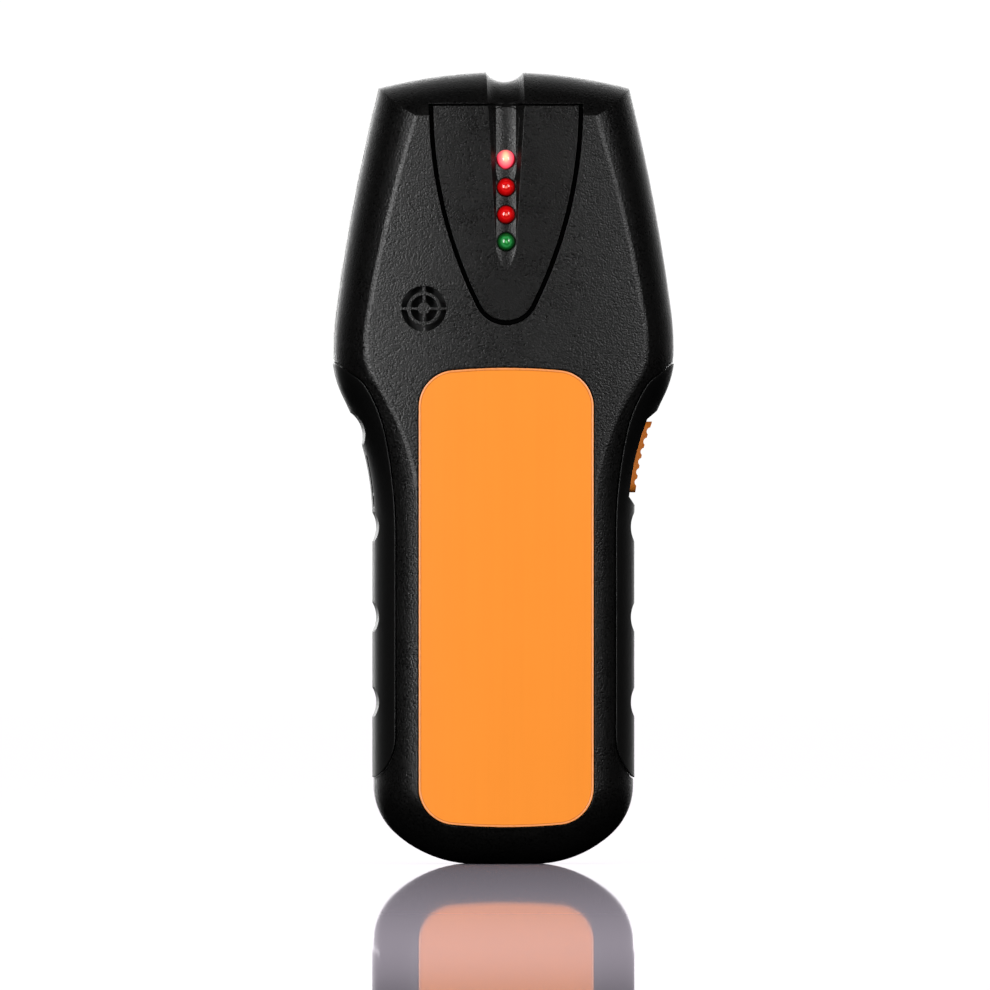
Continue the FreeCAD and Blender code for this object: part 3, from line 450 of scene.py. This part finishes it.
def round_wire(work, centre, radius, thickness):
    """A turn of round wire that lies flat against the Y direction."""
    rings = []
    for step in range(72):
        turn = 2 * math.pi * step / 72
        away = Vector((math.cos(turn), 0.0, math.sin(turn)))
        ring = []
        for corner in range(6):
            angle = 2 * math.pi * corner / 6
            offset = math.cos(angle) * away + math.sin(angle) * Vector((0, 1, 0))
            ring.append(work.verts.new(centre + radius * away + thickness / 2 * offset))
        rings.append(ring)
    join_rings(work, rings, closed=True)


# ---- the border of the coloured panel --------------------------------------------------------
class Outline:
    """The edge of a node's front face, as an ordered ring of points."""

    def __init__(self, node):
        self.ring = self.evened(self.edge_points(node))
        edge_x = max(abs(point.x) for point in self.ring)
        edge_y = max(point.y for point in self.ring)
        self.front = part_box(node)[0].y
        fall = edge_y - self.front
        self.radius = (edge_x ** 2 + fall ** 2) / (2 * fall)

    def edge_points(self, node):
        """Follows the edges that only one forward-facing face uses, from the leftmost point."""
        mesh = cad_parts[node].data
        spots = [tuple(round(part, 6) for part in vertex.co) for vertex in mesh.vertices]
        uses = {}
        for face in mesh.polygons:
            if face.normal.y > -0.9:
                continue
            corners = [spots[index] for index in face.vertices]
            for first, second in zip(corners, corners[1:] + corners[:1]):
                edge = frozenset((first, second))
                if len(edge) == 2:
                    uses[edge] = uses.get(edge, 0) + 1
        neighbours = {}
        for edge, count in uses.items():
            if count == 1:
                first, second = edge
                neighbours.setdefault(first, []).append(second)
                neighbours.setdefault(second, []).append(first)
        start = min(neighbours)
        ring = [start]
        before = None
        here = start
        while True:
            ahead = [spot for spot in neighbours[here] if spot != before and spot not in ring[1:]]
            if not ahead or ahead[0] == start:
                break
            before, here = here, ahead[0]
            ring.append(here)
        return [Vector(spot) for spot in ring]

    def evened(self, ring, step=0.4 * MM):
        """The same ring with points at an even spacing."""
        closed = ring + ring[:1]
        lengths = [0.0]
        for first, second in zip(closed, closed[1:]):
            lengths.append(lengths[-1] + (second - first).length)
        count = int(lengths[-1] / step)
        even = []
        leg = 0
        for number in range(count):
            along = lengths[-1] * number / count
            while lengths[leg + 1] < along:
                leg += 1
            share = (along - lengths[leg]) / (lengths[leg + 1] - lengths[leg])
            even.append(closed[leg].lerp(closed[leg + 1], share))
        return even

    def surface(self, x):
        """How far back the crowned face is at this x."""
        return self.front + self.radius - math.sqrt(self.radius ** 2 - x ** 2)

    def inset(self, distance):
        """The ring moved inwards by this much, or outwards if it is negative."""
        middle = sum(self.ring, Vector()) / len(self.ring)
        moved = []
        count = len(self.ring)
        for index, point in enumerate(self.ring):
            along = self.ring[(index + 2) % count] - self.ring[index - 2]
            inward = Vector((along.z, 0.0, -along.x)).normalized()
            if inward.dot(middle - point) < 0:
                inward = -inward
            moved.append(point + distance * inward)
        return moved

    def band(self, work, outer, inner, proud):
        """A low rounded ridge between two insets of the edge."""
        steps = 4
        rows = []
        for step in range(steps + 1):
            share = step / steps
            lift = proud * math.sin(math.pi * share) - 0.004 * MM
            rows.append([work.verts.new((point.x, self.surface(point.x) - lift, point.z))
                         for point in self.inset(outer + share * (inner - outer))])
        join_rings(work, rows)


# ---- the coil's windings ---------------------------------------------------------------------
def coil_windings(work):
    """Layers of copper turns wound on the bobbin."""
    low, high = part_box("metal_coil")
    centre = (low + high) / 2
    outer = (high.x - low.x) / 2
    turns = 5
    layers = 3
    pitch = (high.y - low.y - 0.9 * MM) / turns
    for layer in range(layers):
        for turn in range(turns):
            radius = outer - 0.35 * MM - layer * 0.9 * pitch
            y = low.y + 0.45 * MM + pitch * (turn + 0.5)
            round_wire(work, Vector((centre.x, y, centre.z)), radius, pitch * 0.9)


# ---- the foam parts ----------------------------------------------------------------------------
def rounded(value, power):
    """A sine or cosine pushed outwards, so that a circle becomes a rounded square."""
    return math.copysign(abs(value) ** (2 / power), value)


def foam_pad(work, node):
    """A block with soft edges and slightly hollow sides, inside the node's box."""
    low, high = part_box(node)
    middle = (low + high) / 2
    half = (high - low) / 2 - Vector((0.05, 0.05, 0.05)) * MM
    bmesh.ops.create_cube(work, size=2.0)
    bmesh.ops.subdivide_edges(work, edges=work.edges[:], cuts=14, use_grid_fill=True)
    for vertex in work.verts:
        spot = vertex.co
        reach = sum(abs(part) ** 9 for part in spot) ** (1 / 9)
        spot = spot / reach
        waist = 1 - 0.03 * (1 - spot.y ** 2)
        vertex.co = middle + Vector((spot.x * half.x * waist, spot.y * half.y, spot.z * half.z * waist))


def foam_ring(work, node, width):
    """A flat ring with soft edges, inside the node's box."""
    low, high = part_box(node)
    middle = (low + high) / 2
    radius = (high.x - low.x) / 2 - width / 2
    half_width = width / 2 - 0.03 * MM
    front = low.y + 0.25 * MM
    half_height = (high.y - front) / 2 - 0.03 * MM
    centre_y = (high.y + front) / 2
    rings = []
    for step in range(96):
        turn = 2 * math.pi * step / 96
        ring = []
        for corner in range(20):
            angle = 2 * math.pi * corner / 20
            away = radius + half_width * rounded(math.cos(angle), 5)
            x = middle.x + away * math.cos(turn)
            y = centre_y + half_height * rounded(math.sin(angle), 5)
            z = middle.z + away * math.sin(turn)
            ring.append(work.verts.new((x, y, z)))
        rings.append(ring)
    join_rings(work, rings, closed=True)


# ---- painted shade: a black bead in the gap round the lamp insert -------------------------------
def painted_shade_black():
    """Painted shade: a dull black that gives no shine, standing in for the shade at the bottom of the
    gap.
    """
    made = Surface("painted_shade_black", Specular_IOR_Level=0.0)
    shade_mottle = made.noise(0.4 * MM, 3.0)
    # Painted shade: near-black with a faint random mottle.
    made.colour(made.ramp(shade_mottle, ((0.3, 0.0004), (0.7, 0.0016))))
    made.rough(shade_mottle, 0.85, 1.0)
    made.bump(shade_mottle, 0.03 * MM)
    return made.material


def painted_shade_bead(work):
    """A black bead of painted shade that fills the bottom of the gap round the insert."""
    edge = Outline("led_bezel")
    low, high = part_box("led_bezel")
    # Millimetres away from the insert's edge, and behind its face.
    section = ((0.06, 1.9), (0.06, 0.75), (0.2, 0.55), (0.8, 0.55), (0.94, 0.75), (0.94, 1.9))
    rows = [edge.inset(-away * MM) for away, _ in section]
    kept = [index for index, point in enumerate(edge.ring)
            if point.z < high.z - 0.5 * MM and (abs(point.x) > 4.5 * MM or point.z < low.z + 6 * MM)]
    # The bead leaves out the straight top edge, so it starts just after the widest break.
    gap = max(range(len(kept)), key=lambda k: (edge.ring[kept[k]] - edge.ring[kept[k - 1]]).length)
    kept = kept[gap:] + kept[:gap]
    rings = []
    for index in kept:
        front = edge.ring[index].y
        rings.append([work.verts.new((row[index].x, front + depth * MM, row[index].z))
                      for row, (_, depth) in zip(rows, section)])
    join_rings(work, rings)
    work.faces.new(rings[0])
    work.faces.new(list(reversed(rings[-1])))


# ---- floor, light and camera ------------------------------------------------------------------
def floor_material():
    """Pale lacquered board, which mirrors only at a grazing look."""
    made = Surface("floor_board")
    tree = made.tree
    soft = made.node("ShaderNodeBsdfDiffuse")
    cloud = made.noise(0.4, 2.0)
    tone = made.ramp(cloud, ((0.3, (0.80, 0.72, 0.84)), (0.7, (0.82, 0.74, 0.86))))
    made.link(tone, soft.inputs["Color"])
    shine = made.node("ShaderNodeBsdfGlossy")
    shine.inputs["Color"].default_value = (0.60, 0.58, 0.60, 1)
    shine.inputs["Roughness"].default_value = 0.02
    lacquer = made.node("ShaderNodeFresnel")
    lacquer.inputs["IOR"].default_value = 1.05
    both = made.node("ShaderNodeMixShader")
    made.link(lacquer.outputs["Fac"], both.inputs["Fac"])
    made.link(soft.outputs["BSDF"], both.inputs[1])
    made.link(shine.outputs["BSDF"], both.inputs[2])
    output = tree.nodes["Material Output"]
    made.link(both.outputs["Shader"], output.inputs["Surface"])
    tree.nodes.remove(made.shader)
    return made.material


def make_floor():
    """A wide board under the object, which casts no light back up at it."""
    data = bpy.data.meshes.new("floor")
    data.from_pydata([(-8, -8, 0), (8, -8, 0), (8, 8, 0), (-8, 8, 0)], [], [(0, 1, 2, 3)])
    floor = bpy.data.objects.new("floor", data)
    bpy.context.collection.objects.link(floor)
    floor.data.materials.append(floor_material())
    floor.location.z = cad_box[0][2]
    floor.visible_glossy = False
    floor.visible_diffuse = False
    return floor


def make_world():
    """A bright wall behind the object, dim sides and front, and plain white for the camera."""
    world = bpy.data.worlds.new("studio")
    bpy.context.scene.world = world
    world.use_nodes = True
    tree = world.node_tree
    tree.nodes.clear()
    place = tree.nodes.new("ShaderNodeTexCoord")
    split = tree.nodes.new("ShaderNodeSeparateXYZ")
    tree.links.new(place.outputs["Generated"], split.inputs["Vector"])
    depth = tree.nodes.new("ShaderNodeMapRange")
    depth.inputs["From Min"].default_value = -1.0
    depth.inputs["From Max"].default_value = 1.0
    tree.links.new(split.outputs["Y"], depth.inputs["Value"])
    wall = tree.nodes.new("ShaderNodeValToRGB")
    stops = ((0.0, 0.01), (0.45, 0.005), (0.58, 0.012), (0.80, 0.06), (0.92, 0.24), (0.975, 1.0))
    points = wall.color_ramp.elements
    while len(points) < len(stops):
        points.new(0.5)
    for point, (position, grey) in zip(points, stops):
        point.position = position
        point.color = (grey, grey, grey, 1)
    tree.links.new(depth.outputs["Result"], wall.inputs["Fac"])
    ground = tree.nodes.new("ShaderNodeMapRange")
    ground.inputs["From Min"].default_value = -0.12
    ground.inputs["From Max"].default_value = 0.0
    ground.inputs["To Max"].default_value = 1.9
    tree.links.new(split.outputs["Z"], ground.inputs["Value"])
    room = tree.nodes.new("ShaderNodeBackground")
    tree.links.new(ground.outputs["Result"], room.inputs["Strength"])
    tree.links.new(wall.outputs["Color"], room.inputs["Color"])
    seen = tree.nodes.new("ShaderNodeBackground")
    seen.inputs["Color"].default_value = (1, 1, 1, 1)
    seen.inputs["Strength"].default_value = 1.05
    path = tree.nodes.new("ShaderNodeLightPath")
    choose = tree.nodes.new("ShaderNodeMixShader")
    tree.links.new(path.outputs["Is Camera Ray"], choose.inputs["Fac"])
    tree.links.new(room.outputs["Background"], choose.inputs[1])
    tree.links.new(seen.outputs["Background"], choose.inputs[2])
    output = tree.nodes.new("ShaderNodeOutputWorld")
    tree.links.new(choose.outputs["Shader"], output.inputs["Surface"])


def area_light(name, place, target, size, power):
    data = bpy.data.lights.new(name, "AREA")
    data.shape = "RECTANGLE"
    data.size, data.size_y = size
    data.energy = power
    lamp = bpy.data.objects.new(name, data)
    lamp.location = place
    lamp.visible_camera = False
    lamp.rotation_euler = (Vector(target) - Vector(place)).to_track_quat("-Z", "Y").to_euler()
    bpy.context.collection.objects.link(lamp)
    return lamp


def around(distance, azimuth, elevation):
    """A point in degrees round from straight ahead of the face, and up from level."""
    turn = math.radians(azimuth)
    rise = math.radians(elevation)
    level = math.cos(rise)
    return distance * Vector((math.sin(turn) * level, -math.cos(turn) * level, math.sin(rise)))


def only(lamp, floor, state):
    """Limits a lamp to the floor, or keeps it off the floor."""
    group = bpy.data.collections.new(lamp.name + "_reach")
    group.objects.link(floor)
    group.collection_objects[0].light_linking.link_state = state
    lamp.light_linking.receiver_collection = group


def make_lights(middle, floor):
    """Two soft boxes in front, each with a copy that the floor doesn't mirror, and rim lights behind."""
    for name, azimuth, elevation, size, power in (("key", -31, 10, (0.40, 0.8), 16.5),
                                                  ("fill", 33, 17, (0.38, 0.6), 9.8)):
        place = middle + around(1.3, azimuth, elevation)
        only(area_light(name, place, middle, size, power), floor, "EXCLUDE")
        copy = area_light("floor_" + name, place, middle, size, power)
        copy.visible_glossy = False
        only(copy, floor, "INCLUDE")
    wash = area_light("floor_wash", middle + Vector((0, 0, 2.2)), middle, (3.0, 3.0), 36)
    wash.visible_glossy = False
    only(wash, floor, "INCLUDE")
    for name, azimuth, elevation, power in (("hair", 180, 48, 0.8), ("left_side", -150, 20, 1.3),
                                            ("right_side", 150, 20, 1.3), ("back", 180, 12, 4)):
        lamp = area_light(name, middle + around(1.5, azimuth, elevation), middle, (0.9, 0.7), power)
        lamp.data.use_shadow = False
        only(lamp, floor, "EXCLUDE")


def make_camera(middle):
    """A long lens a little to the left of straight ahead."""
    data = bpy.data.cameras.new("camera")
    data.lens = 900
    data.sensor_width = 36
    camera = bpy.data.objects.new("camera", data)
    bpy.context.collection.objects.link(camera)
    aim = Vector((-1.84 * MM, 0.0, middle.z - 5.5 * MM))
    camera.location = aim + around(5.064, -2.0, 0.0)
    camera.rotation_euler = (aim - camera.location).to_track_quat("-Z", "Y").to_euler()
    data.clip_start = 0.05
    data.clip_end = 50
    bpy.context.scene.camera = camera


# ---- the added pieces ---------------------------------------------------------------------------
mesh_piece("coil_windings", coil_windings, copper)
border = Outline("label_panel")
mesh_piece("panel_rim", lambda work: border.band(work, 0.02 * MM, 0.36 * MM, 0.05 * MM),
           painted_highlight_orange())
mesh_piece("panel_keyline", lambda work: border.band(work, 0.36 * MM, 0.52 * MM, 0.03 * MM),
           line_orange())
# Painted shade: a black bead at the bottom of the gap round the insert, where there is only shade.
mesh_piece("painted_shade_bead", painted_shade_bead, painted_shade_black())
pad = mesh_piece("door_pad", lambda work: foam_pad(work, "door_foam"), finishes["door_foam"],
                 "door")
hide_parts("door_foam")
gasket = mesh_piece("sounder_gasket", lambda work: foam_ring(work, "buzzer_gasket", 0.9 * MM),
                    finishes["buzzer_gasket"])
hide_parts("buzzer_gasket")

middle = (Vector(cad_box[0]) + Vector(cad_box[1])) / 2
make_world()
make_lights(middle, make_floor())
make_camera(middle)
bpy.context.scene.view_settings.view_transform = "Standard"
